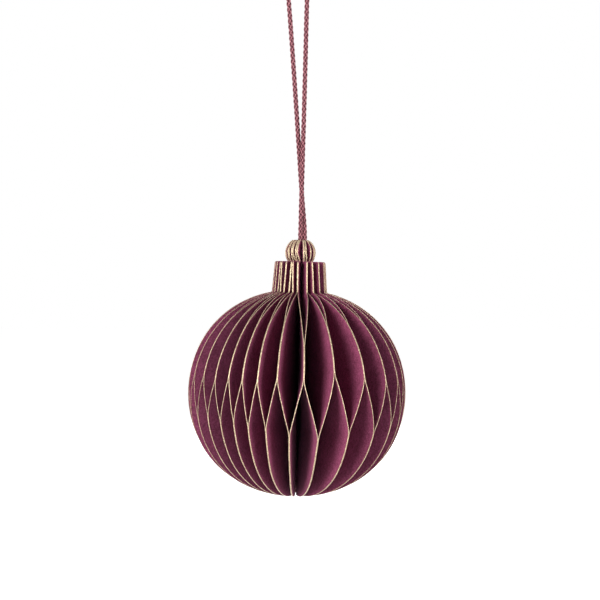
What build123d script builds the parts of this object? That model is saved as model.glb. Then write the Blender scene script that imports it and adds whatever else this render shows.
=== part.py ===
"""Honeycomb paper bauble on a doubled cord, in millimetres.

Equal paper leaves are bound side by side at a hollow spine. Each is glued to one neighbour in a belt
above the middle, and to its other neighbour below the middle and in the cap, so that the gaps between
them open into cells. The frame's origin is the inside top of the cord's loop, with +Z up, and the
ball hangs below it with its own axis leaning a little, as a ball hangs on a cord that is off centre.
"""

from build123d import *
import math
import os

# Outline of the ball, its cap and its finial, about the spine's axis
ball_radius = 38.3
ball_half_height = 36.25
fullness = 2.1  # power of the ball's curve, where 2 is an ellipse
cap_bottom_radius = 9.75
cap_top_radius = 8.95
cap_height = 10.8
cap_corner = 0.6
finial_radius = 5.35
finial_neck_radius = 4.35
finial_top_radius = 2.9

# Leaves, in glued pairs
pair_count = 28
paper = 0.18
glue_gap = 0.025
spine_gap = 0.075
first_pair = 11.22  # direction of pair 0 before the uneven spread, in degrees from the front
# Uneven spread of the pairs: size and phase, in degrees, of one to four waves in a whole turn
spread_waves = ((9.8, -167.0), (5.35, -17.5), (3.5, -52.7), (1.4, -92.6))

# The glue lines. A pair's belt starts, and a border's foot ends, this far from the ball's middle,
# and further for each degree to the neighbours. Borders are numbered by the pair after them.
narrow_opening = 6.5
opening_growth = 0.17
belt_unevenness = {-5: -1.3, -4: 0.5, -3: 0.4, -2: 0.2, -1: 0.8, 1: 2.1, 2: 0.2, 3: -1.3}
foot_unevenness = {-5: -1.7, -4: -0.4, -3: -0.8, -2: 0.8, -1: 0.3, 0: 2.0, 1: 2.7, 2: 0.7, 3: 1.5, 4: 0.7}
belt_top = 25.0
seam_belt_top = 18.0  # the seam pair, where the ball was closed, comes apart lower down
seam_pair = 0
seam_gape = 3.5  # how far the cap's pairs stand back from the seam, in degrees
seam_reach = 8.0
crease = 0.15  # share of each opening that is its rounded start and end
# How far the borders near the front have settled, in degrees, at the cap's foot, its top and the finial
settled = {
    -7: (1.6, 0.5, -0.5), -6: (2.2, -0.2, -8.9), -5: (2.2, 2.4, -1.4), -4: (-1.3, -5.3, -10.1),
    -3: (-2.0, 0.0, -5.5), -2: (2.4, 4.6, -12.7), -1: (1.3, -2.8, -9.5), 0: (1.1, -1.8, -16.3),
    1: (0.2, 0.3, -6.0), 2: (2.9, 0.0, -12.1), 3: (3.8, 3.0, -0.8), 4: (10.6, 10.1, 7.9),
    5: (3.8, 2.6, -2.7),
}

# Cord, its knot, and the recess that the knot sits in
cord_diameter = 1.4
strand_offsets = ((-0.25, -0.3), (1.45, 0.3))  # the two strands in the spine, from its axis
knot_overhang = 0.4  # beyond the spine that it bears on
knot_height = 4.0
knot_rounding = 1.4
knot_seat_gap = 0.3
recess_clearance = 0.4
tail_length = 1.9
tail_clearance = 1.0

# How it hangs
hang_height = 98.3  # inside top of the loop down to the finial's top
finial_offset = 1.41  # of the finial's top from the line under the loop
lean = 1.5  # of the ball's axis, in degrees
loop_radius = 4.17  # of the flat-sided bend at the loop's top, to the middles of its sides
lead_length = 3.3  # straight out of the finial

# Heights that follow
core_radius = (paper + spine_gap) * 2 * pair_count / (2 * math.pi)
leaf_reach = ball_radius + 1
shoulder_height = ball_half_height * (1 - (cap_bottom_radius / ball_radius) ** fullness) ** (1 / fullness)
cap_top = shoulder_height + cap_height
finial_middle = cap_top + math.sqrt(finial_radius**2 - finial_neck_radius**2)
finial_top = finial_middle + math.sqrt(finial_radius**2 - finial_top_radius**2)
knot_radius = core_radius + knot_overhang
recess_radius = knot_radius + recess_clearance
recess_top = knot_seat_gap + knot_height + tail_length + tail_clearance - ball_half_height
knot_top = recess_top - knot_seat_gap

hung = Pos(finial_offset, 0, -hang_height) * Rot(0, lean, 0) * Pos(0, 0, -finial_top)


def ball_point(turn):
    """A point of the ball's curve, as radius and height, at a turn in degrees from its middle."""
    radius = ball_radius * math.cos(math.radians(abs(turn))) ** (2 / fullness)
    height = ball_half_height * math.sin(math.radians(abs(turn))) ** (2 / fullness)
    return radius, math.copysign(height, turn)


def ball_turn(radius):
    """The turn at which the ball's curve has this radius."""
    return math.degrees(math.acos((radius / ball_radius) ** (fullness / 2)))


def make_outline():
    """The solid that every leaf is half a slice of."""
    lowest, highest = -ball_turn(recess_radius), ball_turn(cap_bottom_radius)
    steps = 18
    turns = [lowest + (highest - lowest) * i / steps for i in range(steps + 1)]
    with BuildPart() as outline:
        with BuildSketch(Plane.XZ):
            with BuildLine():
                ball = Spline(*[ball_point(turn) for turn in turns])
                Polyline(ball @ 1, (cap_top_radius, cap_top), (finial_neck_radius, cap_top))
                ThreePointArc(
                    (finial_neck_radius, cap_top),
                    (finial_radius, finial_middle),
                    (finial_top_radius, finial_top),
                )
                Polyline(
                    (finial_top_radius, finial_top),
                    (0, finial_top),
                    (0, recess_top),
                    (recess_radius, recess_top),
                    ball @ 0,
                )
            profile = make_face()
            corner = profile.vertices().sort_by_distance((cap_top_radius, cap_top))
            fillet(corner[0], cap_corner)
        revolve(axis=Axis.Z)
    return outline.part


def pair_direction(pair):
    """Where a pair stands in the belt, in degrees from the front: even steps, unevenly spread."""
    turn = 360 * pair / pair_count
    waves = enumerate(spread_waves, start=1)
    spread = sum(size * math.sin(math.radians(n * turn + phase)) for n, (size, phase) in waves)
    return first_pair + turn + spread


def cap_direction(direction):
    """The same direction in the cap, where the leaves stand back from the seam."""
    away = (direction - pair_direction(seam_pair) + 180) % 360 - 180
    share = away / seam_reach
    return direction + seam_gape * share * math.exp((1 - share**2) / 2)


def opening(height, start, end):
    """Rises from 0 at start to 1 at end, straight but for a rounded crease at both."""
    u = min(max((height - start) / (end - start), 0), 1)
    slope = 1 / (1 - crease)
    if u < crease:
        return slope * u**2 / (2 * crease)
    if u > 1 - crease:
        return 1 - slope * (1 - u) ** 2 / (2 * crease)
    return slope * (u - crease / 2)


def front_number(number):
    """A pair's or border's number counted both ways from the front."""
    return (number + pair_count // 2) % pair_count - pair_count // 2


def settling(border, height):
    """How far a border has settled at a height: steady below the cap, and above the finial's middle."""
    foot, top, finial = settled.get(front_number(border), (0, 0, 0))
    up_cap = min(max((height - shoulder_height) / cap_height, 0), 1)
    up_finial = min(max((height - cap_top) / (finial_middle - cap_top), 0), 1)
    return foot + (top - foot) * up_cap + (finial - top) * up_finial


def belt_ends(pair):
    """Heights of a pair's glued belt."""
    width = (pair_direction(pair + 1) - pair_direction(pair - 1)) / 2
    bottom = narrow_opening + opening_growth * width + belt_unevenness.get(front_number(pair), 0)
    return bottom, seam_belt_top if pair == seam_pair else belt_top


def foot_end(border):
    """Height of the top of the foot, where the leaves at a border are glued."""
    width = pair_direction(border) - pair_direction(border - 1)
    return -(narrow_opening + opening_growth * width + foot_unevenness.get(front_number(border), 0))


def neck_share(height):
    """The cap's radius over the ball's at a height, as leaves go to the cap in nearly straight lines."""
    if height >= shoulder_height:
        return 1
    return cap_bottom_radius / ball_radius / (1 - (height / ball_half_height) ** fullness) ** (1 / fullness)


def leaf_direction(leaf, height):
    """A leaf's direction at its outer end, in degrees from the front."""
    pair, side = leaf // 2, 1 if leaf % 2 else -1
    border = pair + leaf % 2
    nudge = side * math.degrees(math.asin((paper + glue_gap) / 2 / leaf_reach))
    own = pair_direction(pair)
    shared = (pair_direction(border - 1) + pair_direction(border)) / 2
    foot, belt = shared - nudge, own + nudge
    bottom, top = belt_ends(pair)
    direction = foot + (belt - foot) * opening(height, foot_end(border), bottom)
    if height > top:
        cap = cap_direction(shared) - nudge + settling(border, height)
        direction += (cap - belt) * opening(height, top, shoulder_height) * neck_share(height)
    return direction


def leaf_section(leaf, height):
    """The leaf's thin rectangle at a height, from the spine out past the ball."""
    at_spine = first_pair + 360 * (leaf - 0.5) / (2 * pair_count)
    inner = Vector(core_radius, 0, height).rotate(Axis.Z, at_spine - 90)
    outer = Vector(leaf_reach, 0, height).rotate(Axis.Z, leaf_direction(leaf, height) - 90)
    across = (outer - inner).normalized().rotate(Axis.Z, 90) * (paper / 2)
    corners = (inner - across, outer - across, outer + across, inner + across)
    return Wire.make_polygon(corners, close=True)


def leaf_heights(leaf):
    """Heights of the leaf's sections: along both openings, and at each change in the cap."""
    bottom, top = belt_ends(leaf // 2)
    foot = foot_end(leaf // 2 + leaf % 2)
    shares = (0, crease / 2, crease, 0.5, 1 - crease, 1 - crease / 2, 1)
    heights = [foot + share * (bottom - foot) for share in shares]
    heights += [top + share * (shoulder_height - top) for share in (0, crease, 0.4, 0.6, 0.75, 0.87, 0.95, 1)]
    return [-ball_half_height - 1, *heights, cap_top, finial_middle, finial_top + 1]


def make_leaf(leaf, outline):
    """One leaf: a sheet ruled between its sections, cut to the outline."""
    sheet = Solid.make_loft([leaf_section(leaf, height) for height in leaf_heights(leaf)], ruled=True)
    return hung * (sheet & outline)


def strand_point(strand, height):
    """A point of a strand's middle inside the spine, at a height above the ball's middle."""
    x, y = strand_offsets[strand]
    return (hung * Pos(x, y, height)).position


def cord_route():
    """The loop's corners: up the front strand, round the top, and down the one that passes behind."""
    bend = math.radians(46.4)
    bend_middle = cord_diameter / 2 - loop_radius
    reach = loop_radius / math.cos(bend / 2)
    around = [math.pi / 2 + bend * turn for turn in (-1.5, -0.5, 0.5, 1.5)]
    up = [(1.5, -0.68, -88), (1.75, -0.78, -80.6), (2.05, -0.65, -70), (2.54, -0.3, -54)]
    up += [(3.08, -0.1, -34), (3.52, 0, -16), (3.85, 0, -7.5)]
    down = [(-3.5, 0, -7.5), (-2.68, 0, -16), (-1.38, 0.1, -34), (-0.02, 0.3, -54)]
    down += [(1.0, 0.65, -70), (1.67, 0.78, -80.6), (2.25, 0.68, -88)]
    top = [(reach * math.cos(turn), 0, bend_middle + reach * math.sin(turn)) for turn in around]
    ends = [[strand_point(s, finial_top), strand_point(s, finial_top + lead_length)] for s in (0, 1)]
    return [Vector(*point) for point in (*ends[0], *up, *top, *down, *reversed(ends[1]))]


def corner_radii(points):
    """Each corner's arc, as large as its two runs allow."""
    radii = []
    for before, corner, after in zip(points, points[1:], points[2:]):
        arrive, leave = corner - before, after - corner
        half_turn = math.radians(arrive.get_angle(leave)) / 2
        radii.append(0.45 * min(arrive.length, leave.length) / math.tan(half_turn))
    return radii


def make_cord():
    """The loop outside the finial: a tube along straight runs and tangent arcs."""
    points = cord_route()
    radii = corner_radii(points)
    path = FilletPolyline(*points, radius=radii)
    tube = sweep(Plane(path @ 0, z_dir=path % 0) * Circle(cord_diameter / 2), path=path)
    section = math.pi * cord_diameter**2 / 4
    print("cord radii", [round(radius, 1) for radius in radii])
    print("cord length", round(path.length, 1), "volume over section times length",
          round(tube.volume / (section * path.length), 5))
    return tube


def make_knot():
    """The two strands inside the spine, and the knot and cut ends that hold them below it."""
    knot_bottom = knot_top - knot_height
    with BuildPart() as knot:
        with Locations((0, 0, (knot_top + knot_bottom) / 2)):
            Cylinder(knot_radius, knot_height)
        fillet(knot.edges(), knot_rounding)
        for x, y in strand_offsets:
            length = finial_top - knot_bottom + tail_length
            with Locations((x, y, finial_top - length / 2)):
                Cylinder(cord_diameter / 2, length)
    return hung * knot.part


def main():
    os.makedirs("parts", exist_ok=True)
    outline = make_outline()
    for leaf in range(2 * pair_count):
        export_step(make_leaf(leaf, outline), f"parts/leaf_{leaf + 1:02d}.step")
    export_step(make_cord(), "parts/hanging_cord.step")
    export_step(make_knot(), "parts/cord_knot.step")


main()
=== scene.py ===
import bpy
import math
import numpy as np
from mathutils import Matrix, Vector


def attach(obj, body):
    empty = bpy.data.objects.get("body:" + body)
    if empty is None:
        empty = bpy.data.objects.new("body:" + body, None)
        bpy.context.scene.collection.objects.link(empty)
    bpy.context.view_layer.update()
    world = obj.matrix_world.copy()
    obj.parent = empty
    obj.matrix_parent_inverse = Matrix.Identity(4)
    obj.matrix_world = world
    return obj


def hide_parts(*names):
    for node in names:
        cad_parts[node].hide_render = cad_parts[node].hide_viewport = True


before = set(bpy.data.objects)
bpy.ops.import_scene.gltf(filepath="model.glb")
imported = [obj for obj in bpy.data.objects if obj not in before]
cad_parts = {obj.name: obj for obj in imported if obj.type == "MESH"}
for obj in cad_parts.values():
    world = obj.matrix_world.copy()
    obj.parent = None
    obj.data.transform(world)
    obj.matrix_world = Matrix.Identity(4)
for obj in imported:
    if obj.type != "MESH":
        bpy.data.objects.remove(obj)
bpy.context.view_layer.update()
mm = 0.001
print("frame loaded:", len(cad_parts), "nodes")


# ---- shared helpers

def addMesh(name, points, faces, material, smooth=True):
    mesh = bpy.data.meshes.new(name)
    mesh.from_pydata(points.reshape(-1, 3).tolist(), [], faces)
    mesh.polygons.foreach_set("use_smooth", np.full(len(mesh.polygons), smooth))
    mesh.materials.append(material)
    mesh.update()
    piece = bpy.data.objects.new(name, mesh)
    bpy.context.scene.collection.objects.link(piece)
    return piece


def setAttribute(piece, name, values):
    attribute = piece.data.attributes.new(name, "FLOAT", "POINT")
    attribute.data.foreach_set("value", np.asarray(values, np.float32).ravel())


# quads between neighbouring rows and columns of a grid of point numbers
def gridFaces(numbers):
    a, b = numbers[:-1, :-1], numbers[1:, :-1]
    c, d = numbers[1:, 1:], numbers[:-1, 1:]
    return np.stack([a, d, c, b], -1).reshape(-1, 4)


def unit(vectors):
    return vectors / np.linalg.norm(vectors, axis=-1, keepdims=True)


# ---- shader maths: a socket whose arithmetic adds Math nodes

class Value:
    def __init__(self, surface, socket):
        self.surface, self.socket = surface, socket

    def math(self, operation, first, second):
        return self.surface.node("ShaderNodeMath", {"operation": operation}, {0: first, 1: second})

    def __add__(self, other):
        return self.math("ADD", self, other)

    def __mul__(self, other):
        return self.math("MULTIPLY", self, other)

    def __sub__(self, other):
        return self.math("SUBTRACT", self, other)

    def __rsub__(self, other):
        return self.math("SUBTRACT", other, self)

    def larger(self, other):
        return self.math("MAXIMUM", self, other)

    __radd__, __rmul__ = __add__, __mul__


class Surface:
    # owner is the material or world whose nodes are made
    def __init__(self, owner):
        self.owner = owner
        owner.use_nodes = True
        self.tree = owner.node_tree
        self.tree.nodes.clear()

    # a node of this type: settings first, then the values or links of its inputs
    def node(self, kind, settings=None, inputs=None, output=0):
        made = self.tree.nodes.new(kind)
        for name, value in (settings or {}).items():
            setattr(made, name, value)
        for key, value in (inputs or {}).items():
            if isinstance(value, Value):
                self.tree.links.new(value.socket, made.inputs[key])
            else:
                made.inputs[key].default_value = value
        return Value(self, made.outputs[output]) if made.outputs else None

    def place(self):
        return self.node("ShaderNodeTexCoord", output=3)

    def attribute(self, name):
        return self.node("ShaderNodeAttribute", {"attribute_name": name}, output="Fac")

    def noise(self, place, size, detail=2.0, roughness=0.5):
        return self.node("ShaderNodeTexNoise", None, {"Vector": place, "Scale": 1 / size,
                                                      "Detail": detail, "Roughness": roughness})

    def mix(self, share, first, second):
        return self.node("ShaderNodeMix", {"data_type": "RGBA"}, {0: share, 6: first, 7: second}, 2)

    # 1 for the rays that show a thing itself: straight, mirrored or passed through
    def seen(self):
        kinds = ("Is Camera Ray", "Is Glossy Ray", "Is Transmission Ray")
        straight, glossy, passed = (self.node("ShaderNodeLightPath", output=kind) for kind in kinds)
        return (straight + glossy).larger(passed)

    # 0 below low, 1 above high, and straight between them
    def band(self, value, low, high):
        return self.node("ShaderNodeMapRange", {"clamp": True}, {0: value, 1: low, 2: high})

    def bump(self, height, depth, strength=1.0, under=None):
        inputs = {"Height": height, "Distance": depth, "Strength": strength}
        if under:
            inputs["Normal"] = under
        return self.node("ShaderNodeBump", None, inputs)

    def finish(self, inputs):
        shader = self.node("ShaderNodeBsdfPrincipled", None, inputs)
        self.node("ShaderNodeOutputMaterial", None, {"Surface": shader})
        return self.owner


def colour(red, green, blue):
    # screen values from 0 to 255, as the shader's linear light
    screen = np.array([red, green, blue]) / 255
    light = np.where(screen <= 0.04045, screen / 12.92, ((screen + 0.055) / 1.055) ** 2.4)
    return (*light.tolist(), 1.0)


# ---- the ball's frame: where it hangs, and how its own axis leans

ball = {
    "radius": 38.3 * mm, "halfHeight": 36.25 * mm, "fullness": 2.1,
    "capBottom": 9.75 * mm, "capTop": 8.95 * mm, "capHeight": 10.8 * mm, "capCorner": 0.6 * mm,
    "finial": 5.35 * mm, "finialNeck": 4.35 * mm, "finialTop": 2.9 * mm,
    "recessClearance": 0.8 * mm, "recessDepth": 7.2 * mm,
    "lean": math.radians(1.5), "finialOffset": 1.41 * mm, "hangHeight": 98.3 * mm,
}
shoulder = ball["halfHeight"] * (1 - (ball["capBottom"] / ball["radius"]) ** ball["fullness"]) ** (
    1 / ball["fullness"])
capTopHeight = shoulder + ball["capHeight"]
finialMiddle = capTopHeight + math.sqrt(ball["finial"] ** 2 - ball["finialNeck"] ** 2)
finialTopHeight = finialMiddle + math.sqrt(ball["finial"] ** 2 - ball["finialTop"] ** 2)
recessTop = ball["recessDepth"] - ball["halfHeight"]
hung = (Matrix.Translation((ball["finialOffset"], 0, -ball["hangHeight"]))
        @ Matrix.Rotation(ball["lean"], 4, "Y")
        @ Matrix.Translation((0, 0, -finialTopHeight)))
hungArray = np.array(hung)


def hang(points):
    # from the ball's own frame, whose origin is its middle, to the object's frame
    return points @ hungArray[:3, :3].T + hungArray[:3, 3]


ballMiddle = hung @ Vector((0, 0, 0))


# ---- camera

camera = {"distance": 337 * mm, "aboveMiddle": 41.3 * mm, "right": 1.13 * mm, "lookDown": 1.5, "lens": 57.1}


def makeCamera():
    data = bpy.data.cameras.new("camera")
    data.lens, data.sensor_width = camera["lens"], 36
    data.clip_start, data.clip_end = 0.01, 20
    holder = bpy.data.objects.new("camera", data)
    bpy.context.scene.collection.objects.link(holder)
    holder.location = (camera["right"], -camera["distance"], ballMiddle.z + camera["aboveMiddle"])
    holder.rotation_euler = (math.radians(90 - camera["lookDown"]), 0, 0)
    bpy.context.scene.camera = holder


makeCamera()


# ---- paper leaves with glittered edges

leaves = {
    "pairs": 28, "paper": 0.18 * mm, "glueGap": 0.025 * mm, "spineGap": 0.075 * mm, "firstPair": 11.22,
    "waves": ((9.8, -167.0), (5.35, -17.5), (3.5, -52.7), (1.4, -92.6)),
    "narrowOpening": 6.5 * mm, "openingPerDegree": 0.17 * mm,
    # how much lower or higher single glue lines end, by the number of the pair or border from the front
    "beltUnevenness": {-5: -1.3, -4: 0.5, -3: 0.4, -2: 0.2, -1: 0.8, 1: 2.1, 2: 0.2, 3: -1.3},
    "footUnevenness": {
        -5: -1.7, -4: -0.4, -3: -0.8, -2: 0.8, -1: 0.3, 0: 2.0, 1: 2.7, 2: 0.7, 3: 1.5, 4: 0.7},
    "beltTop": 25.0 * mm, "beltTopSpread": 0.7 * mm, "seamBeltTop": 18.0 * mm,
    "seamGape": 3.5, "seamReach": 8.0, "crease": 0.15,
    # how far the borders have settled, in degrees, at the cap's foot, its top and the finial
    "settled": {
        -7: (1.6, 0.5, -0.5), -6: (2.2, -0.2, -8.9), -5: (2.2, 2.4, -1.4), -4: (-1.3, -5.3, -10.1),
        -3: (-2.0, 0.0, -5.5), -2: (2.4, 4.6, -12.7), -1: (1.3, -2.8, -9.5), 0: (1.1, -1.8, -16.3),
        1: (0.2, 0.3, -6.0), 2: (2.9, 0.0, -12.1), 3: (3.8, 3.0, -0.8), 4: (10.6, 10.1, 7.9),
        5: (3.8, 2.6, -2.7)},
    "wander": 0.22, "capWander": 0.8, "seed": 7,
}
glitter = {
    "bead": 0.022 * mm,      # how far the coat stands off each face at the edge
    "round": 0.05 * mm,      # how far it stands out past the edge
    "wrap": 0.24 * mm,       # how far it reaches back over the faces
    "spare": 0.004 * mm,     # what it leaves free before the middle of a gap
    "grain": 0.16 * mm,
}
coreRadius = (leaves["paper"] + leaves["spineGap"]) * 2 * leaves["pairs"] / (2 * math.pi)
recessRadius = coreRadius + ball["recessClearance"]
leafReach = ball["radius"] + 1 * mm
draw = np.random.default_rng(leaves["seed"])
wavePhases = draw.uniform(0, 2 * math.pi, (3, leaves["pairs"], 3))
beltTops = draw.uniform(-1, 1, leaves["pairs"]) * leaves["beltTopSpread"]


def pairDirection(pair):
    # even steps round the spine, unevenly spread by a few waves
    turn = 360 * pair / leaves["pairs"]
    waves = enumerate(leaves["waves"], start=1)
    return leaves["firstPair"] + turn + sum(
        size * math.sin(math.radians(n * turn + phase)) for n, (size, phase) in waves)


def capDirection(direction):
    # leaves in the cap stand back from the seam
    away = (direction - pairDirection(0) + 180) % 360 - 180
    share = away / leaves["seamReach"]
    return direction + leaves["seamGape"] * share * math.exp((1 - share ** 2) / 2)


def opening(height, start, end):
    # rises from 0 to 1, straight but for a rounded crease at both ends
    u = np.clip((height - start) / (end - start), 0, 1)
    c = leaves["crease"]
    slope = 1 / (1 - c)
    rising = slope * u ** 2 / (2 * c)
    falling = 1 - slope * (1 - u) ** 2 / (2 * c)
    return np.where(u < c, rising, np.where(u > 1 - c, falling, slope * (u - c / 2)))


def frontNumber(number):
    # a pair's or border's number, counted both ways from the front
    half = leaves["pairs"] // 2
    return (number + half) % leaves["pairs"] - half


def settling(border, height):
    # steady below the cap, then straight to its top and on to the finial's middle
    foot, top, finial = leaves["settled"].get(frontNumber(border), (0, 0, 0))
    return np.interp(height, (shoulder, capTopHeight, finialMiddle), (foot, top, finial))


def neckShare(height):
    # the cap's radius over the ball's at a height, as leaves go to the cap in nearly straight lines
    fullness = ball["fullness"]
    below = np.clip(height, 0, shoulder)
    radius = ball["radius"] * (1 - (below / ball["halfHeight"]) ** fullness) ** (1 / fullness)
    return ball["capBottom"] / radius


def wander(kind, index, height):
    # slow waves along a glued pair's edge, from -1 to 1
    phases = wavePhases[kind, index % leaves["pairs"]]
    lengths = np.array([61, 33, 17]) * mm
    return sum(np.sin(2 * math.pi * height / length + phase) for length, phase in zip(lengths, phases)) / 3


def leafDirection(leaf, height):
    # the direction, in degrees from the front, of a leaf's outer end at each height
    pair, side = leaf // 2, 1 if leaf % 2 else -1
    border = pair + leaf % 2          # the gap between this pair and its neighbour
    nudge = side * math.degrees(math.asin((leaves["paper"] + leaves["glueGap"]) / 2 / leafReach))
    own = pairDirection(pair)
    shared = (pairDirection(border - 1) + pairDirection(border)) / 2
    ownWidth = (pairDirection(pair + 1) - pairDirection(pair - 1)) / 2
    borderWidth = pairDirection(border) - pairDirection(border - 1)
    bottom = leaves["narrowOpening"] + leaves["openingPerDegree"] * ownWidth
    bottom += leaves["beltUnevenness"].get(frontNumber(pair), 0) * mm
    footTop = -leaves["narrowOpening"] - leaves["openingPerDegree"] * borderWidth
    footTop -= leaves["footUnevenness"].get(frontNumber(border), 0) * mm
    beltTop = leaves["seamBeltTop"] if pair == 0 else leaves["beltTop"] + beltTops[pair]
    foot = shared - nudge + leaves["wander"] * wander(0, border, height)
    belt = own + nudge + leaves["wander"] * wander(1, pair, height)
    cap = capDirection(shared) - nudge + settling(border, height)
    cap = cap + leaves["capWander"] * wander(2, border, height)
    direction = foot + (belt - foot) * opening(height, footTop, bottom)
    return direction + (cap - belt) * opening(height, beltTop, shoulder) * neckShare(height)


def around(radius, degrees, height):
    # a point at a radius and a direction counted from the front
    angle = np.radians(degrees - 90)
    return np.stack([radius * np.cos(angle), radius * np.sin(angle), height + 0 * angle], -1)


def leafPoint(leaf, radius, height):
    # where a leaf's middle surface has this radius and height, and the way across the leaf there:
    # each level line runs straight from the spine to the outer end
    atSpine = leaves["firstPair"] + 360 * (leaf - 0.5) / (2 * leaves["pairs"])
    inner = around(coreRadius, atSpine + 0 * height, height)
    along = around(leafReach, leafDirection(leaf, height), height) - inner
    square = (along ** 2).sum(-1)
    dot = (inner * along)[..., :2].sum(-1)
    reach = np.maximum(radius ** 2 - coreRadius ** 2, 0)
    share = (-dot + np.sqrt(dot ** 2 + square * reach)) / square
    forward = unit(along)
    across = np.stack([-forward[..., 1], forward[..., 0], 0 * height], -1)
    return inner + along * share[..., None], across


def makeOutline(spacing=0.42 * mm):
    # the cut edge of a leaf as radius and height, from the recess up over ball, cap and finial,
    # and the point of the inner edge that each of its points is joined to
    lowTurn = math.acos((recessRadius / ball["radius"]) ** (ball["fullness"] / 2))
    highTurn = math.acos((ball["capBottom"] / ball["radius"]) ** (ball["fullness"] / 2))
    turn = np.linspace(-lowTurn, highTurn, 400)
    power = 2 / ball["fullness"]
    radius = ball["radius"] * np.cos(turn) ** power
    height = np.sign(turn) * ball["halfHeight"] * np.abs(np.sin(turn)) ** power
    innerHeight = np.interp(turn, (-lowTurn, highTurn), (recessTop, shoulder - 2 * mm))
    corner = ball["capCorner"]
    sweep = np.radians(np.linspace(0, 90, 7))
    cornerRadius = ball["capTop"] - corner + corner * np.cos(sweep)
    cornerHeight = capTopHeight - corner + corner * np.sin(sweep)
    bulge = np.linspace(-math.acos(ball["finialNeck"] / ball["finial"]),
                        math.acos(ball["finialTop"] / ball["finial"]), 24)
    radius = np.concatenate([radius, cornerRadius, ball["finial"] * np.cos(bulge)])
    height = np.concatenate([height, cornerHeight, finialMiddle + ball["finial"] * np.sin(bulge)])
    innerHeight = np.concatenate([
        innerHeight, np.linspace(capTopHeight - 2.5 * mm, capTopHeight - 2 * mm, len(sweep)),
        np.linspace(capTopHeight - 0.1 * mm, finialTopHeight, len(bulge))])
    walked = np.concatenate([[0], np.cumsum(np.hypot(np.diff(radius), np.diff(height)))])
    rows = np.linspace(0, walked[-1], int(walked[-1] / spacing))
    outline = np.stack([np.interp(rows, walked, radius), np.interp(rows, walked, height)], -1)
    inner = np.stack([np.full(len(rows), coreRadius), np.interp(rows, walked, innerHeight)], -1)
    # the first rows end on the recess's wall, and as many more on its ceiling
    half, wallHeight = 2 * mm, 0.4 * mm
    wall = np.clip(1 - rows / half, 0, 1)
    ceiling = np.clip((rows - half) / half, 0, 1)
    inRecess = rows < 2 * half
    inner[:, 0] = np.where(inRecess, recessRadius + (coreRadius - recessRadius) * ceiling, coreRadius)
    inner[:, 1] = np.where(inRecess, recessTop - wallHeight * wall, inner[:, 1])
    return outline, inner


def leafColumns(outline, inner):
    # distances from the cut edge towards the spine: close together in the glitter, then wider
    depths = np.array([0, 0.12, 0.28, 0.5]) * mm
    shares = np.array([0.05, 0.16, 0.4, 0.7, 1.0])
    length = np.linalg.norm(inner - outline, axis=1)
    left = np.maximum(length - depths[-1], 0)
    near = np.minimum(depths, length[:, None] * depths / depths[-1] * 0.5)
    return np.concatenate([near, length[:, None] - left[:, None] * (1 - shares)], 1)


def coatThickness(leaf, step, outline, rim):
    # as thick as half the gap to the neighbour on that side allows
    other, _ = leafPoint((leaf + step) % (2 * leaves["pairs"]), outline[:, 0], outline[:, 1])
    room = np.linalg.norm(other - rim, axis=1) / 2 - leaves["paper"] / 2 - glitter["spare"]
    return np.clip(room, 0, glitter["bead"])


def makeLeaf(leaf, outline, inner, material):
    # columns of a leaf from its edge to the spine, on both of its faces, joined round the rim
    columns = leafColumns(outline, inner)
    inward = unit(inner - outline)
    flat = outline[:, None, :] + inward[:, None, :] * columns[..., None]
    middle, across = leafPoint(leaf, flat[..., 0], flat[..., 1])
    rim = middle[:, 0]
    fade = np.clip(1 - columns / glitter["wrap"], 0, 1) ** 0.7
    grain = np.random.default_rng(100 + leaf)
    half = leaves["paper"] / 2
    sides = []
    for side in (-1, 1):
        coat = coatThickness(leaf, side, outline, rim)[:, None]
        rough = np.clip(1 + 0.35 * grain.standard_normal(columns.shape), 0.2, 2)
        sides.append(middle + side * across * (half + coat * fade * rough)[..., None])

    # the rim is rounded by three more points, which stand out past the cut edge
    outward = unit(middle[:, 0] - middle[:, 1])
    reach = glitter["round"] * np.clip(1 + 0.3 * grain.standard_normal(len(rim)), 0.4, 1.9)
    low, high = sides[0][:, 0], sides[1][:, 0]
    rounding = [low + (high - low) * share + outward * (reach * bulge)[:, None]
                for share, bulge in ((0.15, 0.65), (0.5, 1.0), (0.85, 0.65))]
    points = np.concatenate([sides[0][:, ::-1], np.stack(rounding, 1), sides[1]], 1)
    numbers = np.arange(points.shape[0] * points.shape[1]).reshape(points.shape[:2])
    numbers = np.concatenate([numbers, numbers[:, :1]], 1)   # closes along the spine
    ends = [numbers[0, -2::-1].tolist(), numbers[-1, :-1].tolist()]
    piece = addMesh(f"paperLeaf{leaf + 1:02d}", hang(points.reshape(-1, 3)),
                    gridFaces(numbers).tolist() + ends, material)

    # distance from the middle of the rim: half the paper lies before each face begins
    over = np.tile(np.array([half / 2, 0, half / 2]), (len(rim), 1))
    edge = np.concatenate([columns[:, ::-1] + half, over, columns + half], 1)
    setAttribute(piece, "edgeDistance", edge / mm)
    topEdge = (abs(outline[:, 1] - capTopHeight) < 0.25 * mm) & (outline[:, 0] > ball["finialNeck"])
    setAttribute(piece, "bareEdge", np.repeat(np.where(topEdge, 0.8, 0.0), points.shape[1]))
    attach(piece, "root")
    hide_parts(f"leaf_{leaf + 1:02d}")


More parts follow.
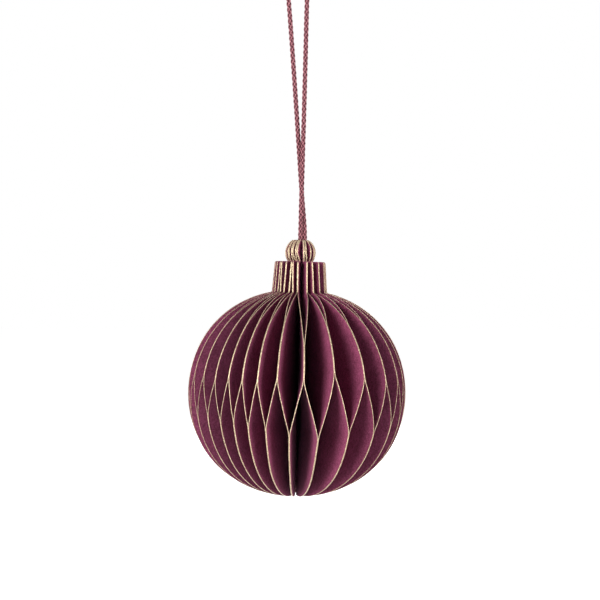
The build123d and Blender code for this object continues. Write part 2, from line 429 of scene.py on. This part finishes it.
def paperMaterial():
    surface = Surface(bpy.data.materials.new("glitteredPaper"))
    place = surface.place()
    # felted paper: fine fibres over slow clouds of lighter and darker dye
    fibre = surface.noise(place, 0.45 * mm, 3, 0.7)
    cloud = surface.noise(place, 7 * mm, 2, 0.5)
    fleck = surface.noise(place, 0.9 * mm, 2, 0.6)
    dye = fibre * 0.5 + fleck * 0.3 + cloud * 0.2
    paper = surface.mix(surface.band(dye, 0.36, 0.64), colour(110, 46, 70), colour(170, 82, 119))
    # glitter: grains lie close on the cut edge and thin out over the faces beside it
    edge = surface.attribute("edgeDistance")
    bare = surface.attribute("bareEdge")
    grain = surface.node("ShaderNodeTexVoronoi", None,
                         {"Vector": place, "Scale": 1 / glitter["grain"]}, "Color")
    chance = surface.node("ShaderNodeSeparateColor", None, {0: grain}, 0)
    shade = surface.node("ShaderNodeSeparateColor", None, {0: grain}, 1)
    clump = surface.noise(place, 0.7 * mm, 2, 0.6)
    cover = 1.45 - edge * 5.5 + (clump - 0.5) * 1.6 - bare
    scattered = surface.band(cover - chance, 0.0, 0.08) * (1 - surface.band(edge, 0.4, 0.5))
    rim = (1 - surface.band(edge, 0.08, 0.13)) * (1 - bare)
    coat = (scattered * 0.75).larger(rim)
    # painted highlight: palest along the middle of the rim, with painted shade making it browner at its
    # sides; the grains' own tone also varies at random
    middle = 1 - surface.band(edge, 0.015, 0.07)
    toneAndHighlight = surface.band(shade * 0.4 + clump * 0.75 + middle * 0.5, 0.5, 1.25)
    # the dark and pale gold span the grains' random tone and the painted rim highlight and shade
    gold = surface.mix(toneAndHighlight, colour(118, 62, 52), colour(255, 238, 196))
    raised = surface.bump(fibre, 0.03 * mm, 0.45)
    sparkle = surface.bump(shade * coat, 0.05 * mm, 0.7, raised)
    return surface.finish({
        "Base Color": surface.mix(coat, paper, gold),
        "Metallic": coat * 0.6,
        "Roughness": 0.85 - coat * 0.43,
        "Normal": sparkle,
        "Sheen Weight": 0.15, "Sheen Roughness": 0.5,
        "Sheen Tint": colour(220, 150, 185),
        "Specular IOR Level": 0.3,
    })


def makeLeaves():
    material = paperMaterial()
    outline, inner = makeOutline()
    for leaf in range(2 * leaves["pairs"]):
        makeLeaf(leaf, outline, inner, material)
    print("leaves:", 2 * leaves["pairs"], "with", len(outline), "rows each")


makeLeaves()


# ---- cord

cordLoop = {
    "diameter": 1.4 * mm, "offsets": ((-0.16, -0.3), (1.36, 0.3)), "lead": 3.3 * mm,
    "bend": 4.17 * mm, "turnStep": math.radians(46.4),
    "carriers": 8, "yarn": 0.24 * mm, "plait": 8 * mm, "lift": 0.1 * mm, "fuzz": 0.11 * mm,
    "step": 0.32 * mm,
}


def strandPoint(strand, height):
    x, y = cordLoop["offsets"][strand]
    return tuple(hung @ Vector((x * mm, y * mm, height)))


def cordRoute():
    # up the front strand, round the top, and down the one that passes behind
    middle = cordLoop["diameter"] / 2 - cordLoop["bend"]
    reach = cordLoop["bend"] / math.cos(cordLoop["turnStep"] / 2)
    turns = [math.pi / 2 + cordLoop["turnStep"] * step for step in (-1.5, -0.5, 0.5, 1.5)]
    up = [(1.5, -0.68, -88), (1.75, -0.78, -80.6), (2.05, -0.65, -70), (2.54, -0.3, -54),
          (3.08, -0.1, -34), (3.52, 0, -16), (3.85, 0, -7.5)]
    down = [(-3.5, 0, -7.5), (-2.68, 0, -16), (-1.38, 0.1, -34), (-0.02, 0.3, -54),
            (1.0, 0.65, -70), (1.67, 0.78, -80.6), (2.25, 0.68, -88)]
    up, down = ([tuple(value * mm for value in point) for point in points] for points in (up, down))
    top = [(reach * math.cos(turn), 0, middle + reach * math.sin(turn)) for turn in turns]
    ends = [[strandPoint(s, finialTopHeight), strandPoint(s, finialTopHeight + cordLoop["lead"])]
            for s in (0, 1)]
    return [*ends[0], *up, *top, *down, *reversed(ends[1])]


def smoothLine(points):
    # the NURBS line through the route, as evenly spaced points
    data = bpy.data.curves.new("cordLine", "CURVE")
    data.dimensions, data.resolution_u = "3D", 40
    spline = data.splines.new("NURBS")
    spline.points.add(len(points) - 1)
    for point, place in zip(spline.points, points):
        point.co = (*place, 1)
    spline.order_u, spline.use_endpoint_u = 3, True
    holder = bpy.data.objects.new("cordLine", data)
    bpy.context.scene.collection.objects.link(holder)
    mesh = bpy.data.meshes.new_from_object(holder)
    line = np.zeros(len(mesh.vertices) * 3)
    mesh.vertices.foreach_get("co", line)
    bpy.data.objects.remove(holder)
    bpy.data.meshes.remove(mesh)
    return line.reshape(-1, 3)


def resample(line, spacing):
    walked = np.concatenate([[0], np.cumsum(np.linalg.norm(np.diff(line, axis=0), axis=1))])
    even = np.linspace(0, walked[-1], int(walked[-1] / spacing) + 1)
    return even, np.stack([np.interp(even, walked, line[:, axis]) for axis in range(3)], -1)


def frameAlong(line):
    # tangents, and two directions square to them that turn as little as they can
    tangent = unit(np.gradient(line, axis=0))
    side = np.empty_like(line)
    side[0] = unit(np.cross(tangent[0], (0.0, 1.0, 0.0)))
    for i in range(1, len(line)):
        side[i] = side[i - 1] - tangent[i] * side[i - 1].dot(tangent[i])
        side[i] /= np.linalg.norm(side[i])
    return tangent, side, np.cross(tangent, side)


def tubeGrid(line, radius, around):
    # a round section carried along a line
    _, side, up = frameAlong(line)
    turn = np.linspace(0, 2 * math.pi, around, endpoint=False)[None, :, None]
    outward = side[:, None] * np.cos(turn) + up[:, None] * np.sin(turn)
    return (line[:, None] + radius * outward).reshape(-1, 3)


def tubeFaces(rows, around, start):
    # the tube's wall and its two flat ends
    numbers = start + np.arange(rows * around).reshape(rows, around)
    wall = gridFaces(np.concatenate([numbers, numbers[:, :1]], 1)).tolist()
    return wall + [numbers[0, ::-1].tolist(), numbers[-1].tolist()]


def plaitGrid(points, spacing):
    # carriers wind both ways round a line and pass over and under each other by turns
    walked = np.arange(len(points)) * spacing
    _, side, up = frameAlong(points)
    half = cordLoop["carriers"] // 2
    yarn, turn = cordLoop["yarn"], 2 * math.pi * walked / cordLoop["plait"]
    outer = cordLoop["diameter"] / 2 - yarn + cordLoop["fuzz"]
    tubes = [tubeGrid(points, outer, 10)]
    faces, tints = tubeFaces(len(points), 10, 0), [np.zeros(len(tubes[0]))]
    for carrier in range(cordLoop["carriers"]):
        way = 1 if carrier % 2 else -1
        angle = way * turn + 2 * math.pi * (carrier // 2) / half
        radius = outer + cordLoop["lift"] * way * np.cos(half * turn)
        centre = points + side * (np.cos(angle) * radius)[:, None] + up * (np.sin(angle) * radius)[:, None]
        faces += tubeFaces(len(points), 6, sum(len(tube) for tube in tubes))
        tubes.append(tubeGrid(centre, yarn, 6))
        tints.append(np.full(len(tubes[-1]), draw.uniform(0.2, 1)))
    # how far out each point stands, from groove to crown, for the yarn colour's painted shade and light
    out = [np.linalg.norm(tube.reshape(len(points), -1, 3) - points[:, None], axis=-1).ravel()
           for tube in tubes]
    crownLight = np.clip((np.concatenate(out) - outer) / (yarn + cordLoop["lift"]), 0, 1)
    return np.concatenate(tubes), faces, np.concatenate(tints), crownLight


def joinGrids(name, grids, material):
    # several plaits as one mesh
    faces, start = [], 0
    for points, gridded, _, _ in grids:
        faces += [[number + start for number in face] for face in gridded]
        start += len(points)
    points, _, tints, crownLights = zip(*grids)
    piece = addMesh(name, np.concatenate(points), faces, material)
    setAttribute(piece, "yarnTint", np.concatenate(tints))
    setAttribute(piece, "crownLight", np.concatenate(crownLights))
    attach(piece, "root")
    return piece


def cordMaterial():
    surface = Surface(bpy.data.materials.new("plaitedYarn"))
    place = surface.place()
    fuzz = surface.noise(place, 0.12 * mm, 3, 0.7)
    patch = surface.noise(place, 2.5 * mm, 2, 0.5)
    # painted shade in the grooves between yarns, and painted light on their crowns
    yarn = surface.attribute("yarnTint") * 0.3 + surface.band(surface.attribute("crownLight"), 0.35, 1.0) * 0.75
    share = surface.band(yarn + fuzz * 0.5 + patch * 0.2, 0.45, 1.35)
    return surface.finish({
        # the dark and light yarn colours span the yarns' own tints and the painted groove shade and crown
        # light
        "Base Color": surface.mix(share, colour(70, 22, 34), colour(206, 130, 140)),
        "Roughness": 0.7 + fuzz * 0.2,
        "Normal": surface.bump(fuzz, 0.05 * mm, 0.7),
        "Sheen Weight": 0.4, "Sheen Roughness": 0.4, "Sheen Tint": colour(235, 190, 195),
    })


def makeCord(material):
    walked, path = resample(smoothLine(cordRoute()), cordLoop["step"])
    piece = joinGrids("hangingCord", [plaitGrid(path, walked[1])], material)
    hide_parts("hanging_cord")
    print("cord:", round(walked[-1] / mm, 1), "mm outside the finial")


knot = {
    "radius": coreRadius + 0.4 * mm, "height": 4.0 * mm, "seatGap": 0.3 * mm, "tail": 2.65 * mm,
    "turns": 3, "strandGap": 0.65 * mm,
}
knotTop = recessTop - knot["seatGap"]


def knotRoute():
    # the cord wound round both strands in a flat coil
    reach = knot["radius"] - cordLoop["diameter"] / 2
    turn = np.linspace(0, knot["turns"] * 2 * math.pi, 120)
    fall = (knot["height"] - cordLoop["diameter"]) * turn / turn[-1]
    wobble = reach * (1 + 0.05 * np.sin(2.3 * turn))
    height = knotTop - cordLoop["diameter"] / 2 - fall
    return np.stack([wobble * np.cos(turn), wobble * np.sin(turn), height], -1)


def strandInside(strand):
    # from the finial straight down the spine, and through the knot to the cut end below it
    x, y = cordLoop["offsets"][strand]
    way = 2 * strand - 1
    heights = np.linspace(finialTopHeight, knotTop - knot["height"] - knot["tail"], 160)
    knotMiddle = knotTop - knot["height"] / 2
    below = np.clip((knotMiddle - heights) / (knot["height"] / 2 + knot["tail"]), 0, 1)
    above = np.interp(heights, (knotTop, finialTopHeight), (0, 1))
    across = x * mm * above + (1 - above) * knot["strandGap"] * way
    return np.stack([across, y * mm * (1 + below), heights], -1)


def makeKnot(material):
    grids = []
    for line in (strandInside(0), strandInside(1), knotRoute()):
        even, line = resample(line, cordLoop["step"])
        grids.append(plaitGrid(hang(line), even[1]))
    piece = joinGrids("cordKnot", grids, material)
    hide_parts("cord_knot")
    print("knot:", knot["turns"], "turns under the spine")


cordYarn = cordMaterial()
makeCord(cordYarn)
makeKnot(cordYarn)


# ---- floor, backdrop and light

stage = {"floorBelow": 150 * mm, "floorSize": 6.0, "floorGlow": 0.98, "dim": 0.025}


def makeFloor():
    # plain and matt, and bright enough to the eye to leave only the shadow's trace
    size = stage["floorSize"] / 2
    level = ballMiddle.z - stage["floorBelow"]
    corners = np.array([(x * size, y * size, level) for x, y in ((-1, -1), (1, -1), (1, 1), (-1, 1))])
    surface = Surface(bpy.data.materials.new("paleFloor"))
    lit = surface.node("ShaderNodeBsdfDiffuse", None, {"Color": (0.8, 0.8, 0.8, 1)})
    glow = surface.node("ShaderNodeEmission", None, {"Color": (1, 1, 1, 1), "Strength": stage["floorGlow"]})
    both = surface.node("ShaderNodeAddShader", None, {0: lit, 1: glow})
    shown = surface.node("ShaderNodeMixShader", None, {0: surface.seen(), 1: lit, 2: both})
    surface.node("ShaderNodeOutputMaterial", None, {"Surface": shown})
    floor = addMesh("floor", corners, [[0, 1, 2, 3]], surface.owner, smooth=False)


def makeWorld():
    # white to the eye, and dim as a light
    world = bpy.data.worlds.new("studio")
    bpy.context.scene.world = world
    surface = Surface(world)
    strength = surface.node("ShaderNodeMapRange", None, {0: surface.seen(), 3: stage["dim"], 4: 1.0})
    sky = surface.node("ShaderNodeBackground", None, {"Color": (1, 1, 1, 1), "Strength": strength})
    surface.node("ShaderNodeOutputWorld", None, {"Surface": sky})


lamps = {
    "key": {"place": (-0.49, -0.55, 0.16), "size": 0.46, "power": 6.0},
    "fill": {"place": (0.58, -0.40, 0.08), "size": 0.4, "power": 3.5},
    "back": {"place": (0.15, 0.8, 0.2), "size": 0.6, "power": 3.0},
}


def makeLamps():
    for name, lamp in lamps.items():
        data = bpy.data.lights.new(name, "AREA")
        data.size, data.energy = lamp["size"], lamp["power"]
        holder = bpy.data.objects.new(name, data)
        bpy.context.scene.collection.objects.link(holder)
        holder.location = Vector(lamp["place"]) + ballMiddle
        holder.rotation_euler = (ballMiddle - holder.location).to_track_quat("-Z", "Y").to_euler()


makeFloor()
makeWorld()
makeLamps()
bpy.context.scene.view_settings.view_transform = "Standard"
bpy.context.scene.cycles.diffuse_bounces = 1
print("stage ready")
